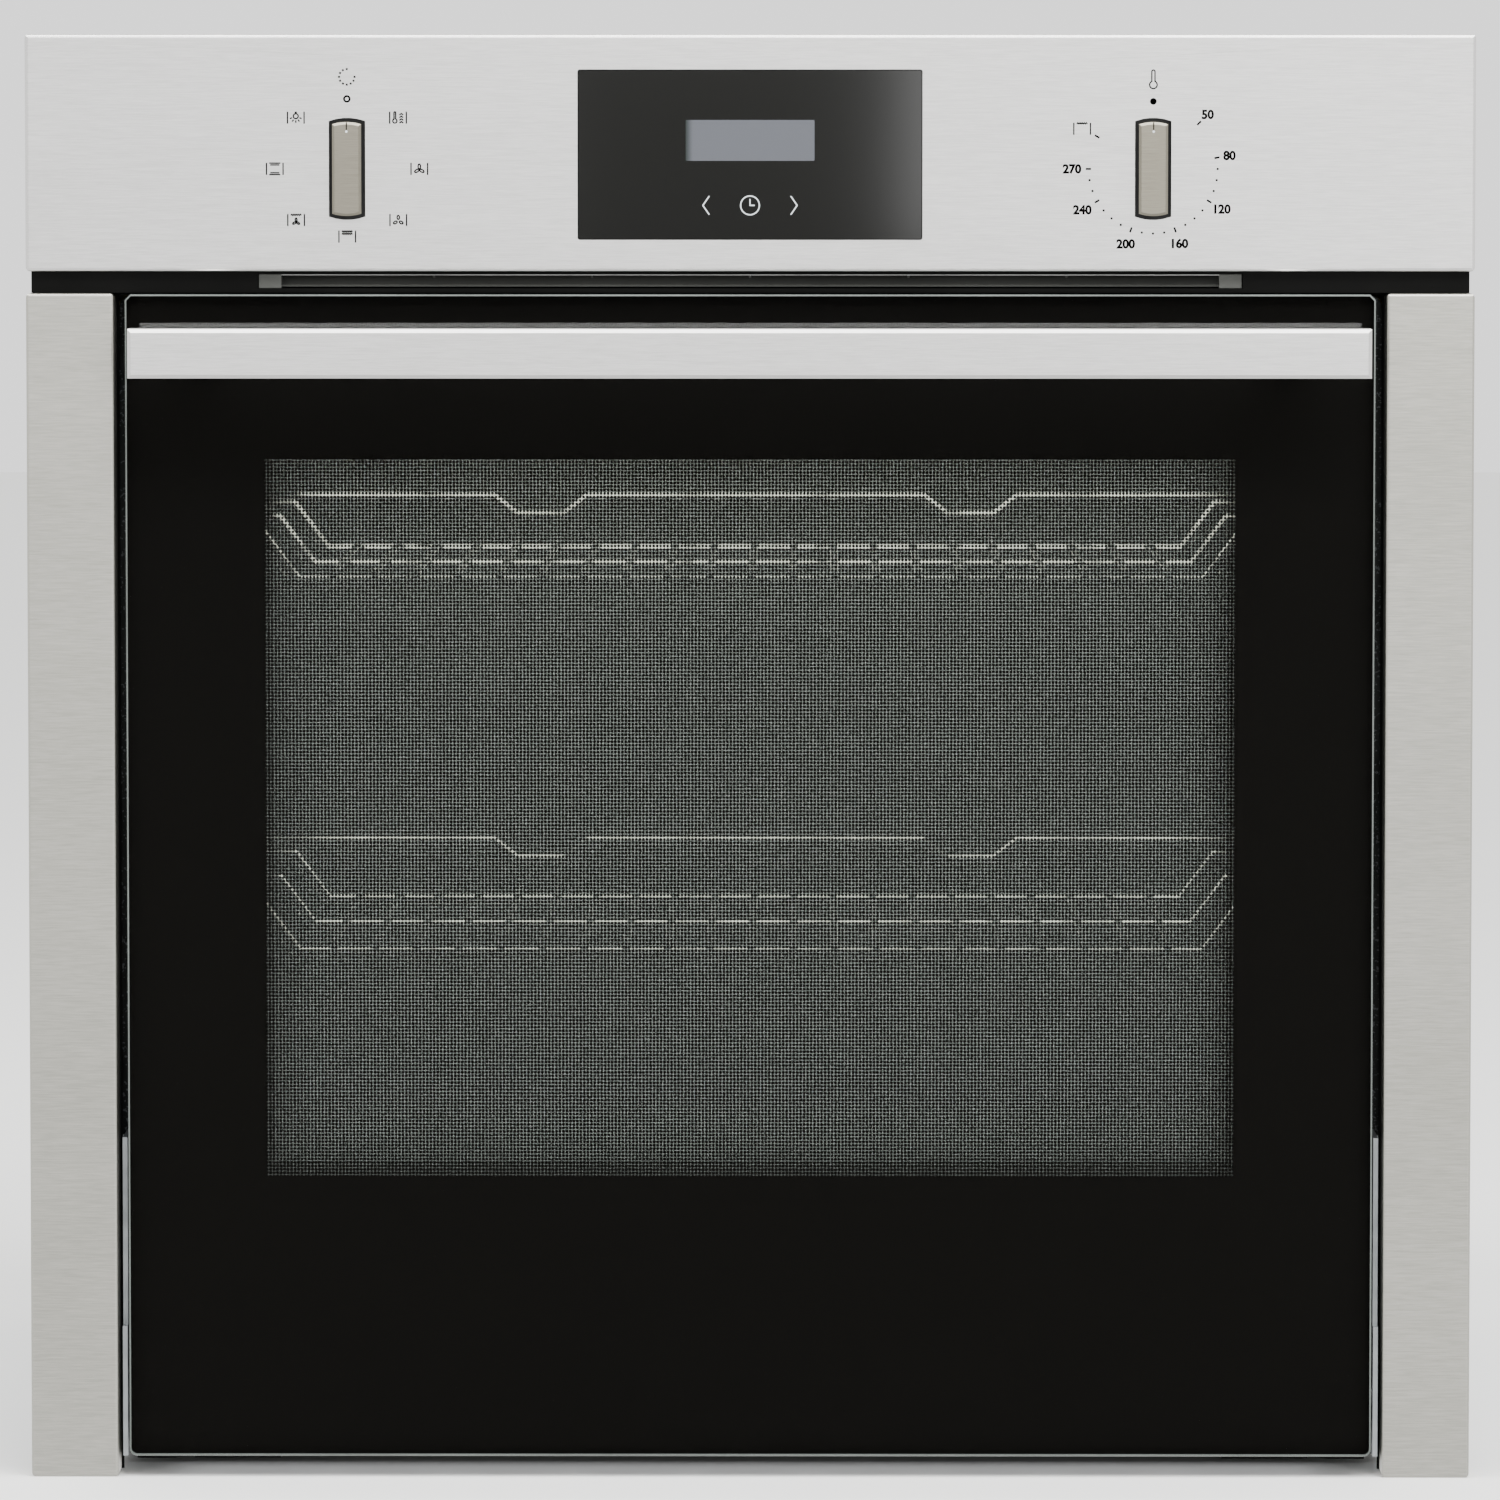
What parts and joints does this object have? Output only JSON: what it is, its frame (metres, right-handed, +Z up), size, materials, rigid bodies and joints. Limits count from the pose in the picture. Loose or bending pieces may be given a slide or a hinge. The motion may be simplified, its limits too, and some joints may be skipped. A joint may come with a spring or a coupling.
{
  "type": "wall oven",
  "caption": "Built-in electric wall oven with a steel control panel, pop-out bar knobs, black glass door with bar handle that tips down and slides under the cavity.",
  "frame": {"origin": "middle of the footprint, handle included, on the level of the shelf that the oven stands on", "axes": "+Z up, +Y to the back of the oven, +X to the right seen from the front; the cabinet face is the plane y = -0.23125 m"},
  "size_m": [0.594, 0.5924, 0.595],
  "materials": {
    "brushed_steel": "satin",
    "black_plastic": "satin",
    "display_glass": "gloss",
    "circuit_board": "satin",
    "knob_metal": "satin",
    "plain_steel": "satin",
    "ivory_plastic": "satin",
    "trim_steel": "satin",
    "black_paint": "satin",
    "galvanised": "satin",
    "roller_plastic": "satin",
    "door_glass": "gloss",
    "clear_glass": "gloss",
    "door_profile": "satin",
    "enamel": "gloss",
    "seal_rubber": "matte",
    "chrome_wire": "polished",
    "fan_blade": "satin",
    "heater_rod": "satin",
    "lamp_glass": "gloss",
    "ceramic": "satin",
    "mineral_wool": "matte",
    "motor_steel": "satin",
    "rubber_black": "matte"
  },
  "bodies": {
    "root": {"control_panel_fascia": "brushed_steel", "panel_carrier": "black_plastic", "display_glass": "display_glass", "display_module": "black_plastic", "control_board": "circuit_board", "knob_bezels": "black_plastic", "rotary_selectors": "ivory_plastic", "left_side_trim": "trim_steel", "right_side_trim": "trim_steel", "front_frame": "black_paint", "vent_crossbar": "black_paint", "air_outlet_louvre": "black_plastic", "hinge_brackets": "galvanised", "slot_rails": "galvanised", "door_bay_roof": "galvanised", "hinge_springs": "plain_steel", "oven_cavity": "enamel", "door_seal": "seal_rubber", "left_side_rack": "chrome_wire", "right_side_rack": "chrome_wire", "upper_wire_shelf": "chrome_wire", "lower_wire_shelf": "chrome_wire", "fan_cover": "enamel", "ring_heater": "heater_rod", "grill_element": "heater_rod", "bottom_element": "heater_rod", "lamp_lens": "lamp_glass", "lamp_holder": "ceramic", "temperature_probe": "plain_steel", "cavity_insulation": "mineral_wool", "convection_motor": "motor_steel", "motor_cover": "galvanised", "cooling_fan_housing": "galvanised", "air_duct": "galvanised", "power_board": "circuit_board", "terminal_block": "ivory_plastic", "cable_gland": "rubber_black", "casing_sides": "galvanised", "casing_top": "galvanised", "casing_back": "galvanised", "base_pan": "black_paint"},
    "door_carrier": {"hinge_carriers": "plain_steel", "carrier_rollers": "roller_plastic"},
    "door": {"door_outer_glass": "door_glass", "door_middle_glass": "clear_glass", "door_inner_glass": "clear_glass", "door_side_profiles": "door_profile", "door_rails": "door_profile", "door_top_profile": "door_profile", "door_bottom_profile": "door_profile", "handle_bar": "brushed_steel", "handle_posts": "brushed_steel", "handle_screws": "plain_steel", "door_end_rollers": "roller_plastic"},
    "function_shaft": {"function_shaft": "plain_steel"},
    "function_knob": {"function_knob": "knob_metal"},
    "temperature_shaft": {"temperature_shaft": "plain_steel"},
    "temperature_knob": {"temperature_knob": "knob_metal"},
    "convection_fan": {"convection_fan": "fan_blade"},
    "cooling_fan": {"cooling_fan": "black_plastic"}
  },
  "joints": [
    {"name": "door_tilt", "type": "hinge", "parent": "root", "child": "door_carrier", "pos_m": [0, -0.23125, 0.032], "axis": [1, 0, 0], "range_deg": [0, 90], "stiffness_Nm_per_rad": 12, "springref_deg": -17.19},
    {"name": "door_slide", "type": "slide", "parent": "door_carrier", "child": "door", "axis": [0, 0, -1], "range_m": [0, 0.398]},
    {"name": "function_turn", "type": "hinge", "parent": "root", "child": "function_shaft", "pos_m": [-0.165, -0.23125, 0.54], "axis": [0, 1, 0], "range_deg": [0, 315]},
    {"name": "function_pop", "type": "slide", "parent": "function_shaft", "child": "function_knob", "axis": [0, -1, 0], "range_m": [-0.0055, 0.014]},
    {"name": "temperature_turn", "type": "hinge", "parent": "root", "child": "temperature_shaft", "pos_m": [0.165, -0.23125, 0.54], "axis": [0, 1, 0], "range_deg": [0, 303]},
    {"name": "temperature_pop", "type": "slide", "parent": "temperature_shaft", "child": "temperature_knob", "axis": [0, -1, 0], "range_m": [-0.0055, 0.014]},
    {"name": "convection_fan_spin", "type": "hinge", "parent": "root", "child": "convection_fan", "pos_m": [0, 0.19875, 0.272], "axis": [0, 1, 0], "continuous": true},
    {"name": "cooling_fan_spin", "type": "hinge", "parent": "root", "child": "cooling_fan", "pos_m": [0, 0.02875, 0.504], "axis": [0, 0, 1], "continuous": true}
  ]
}
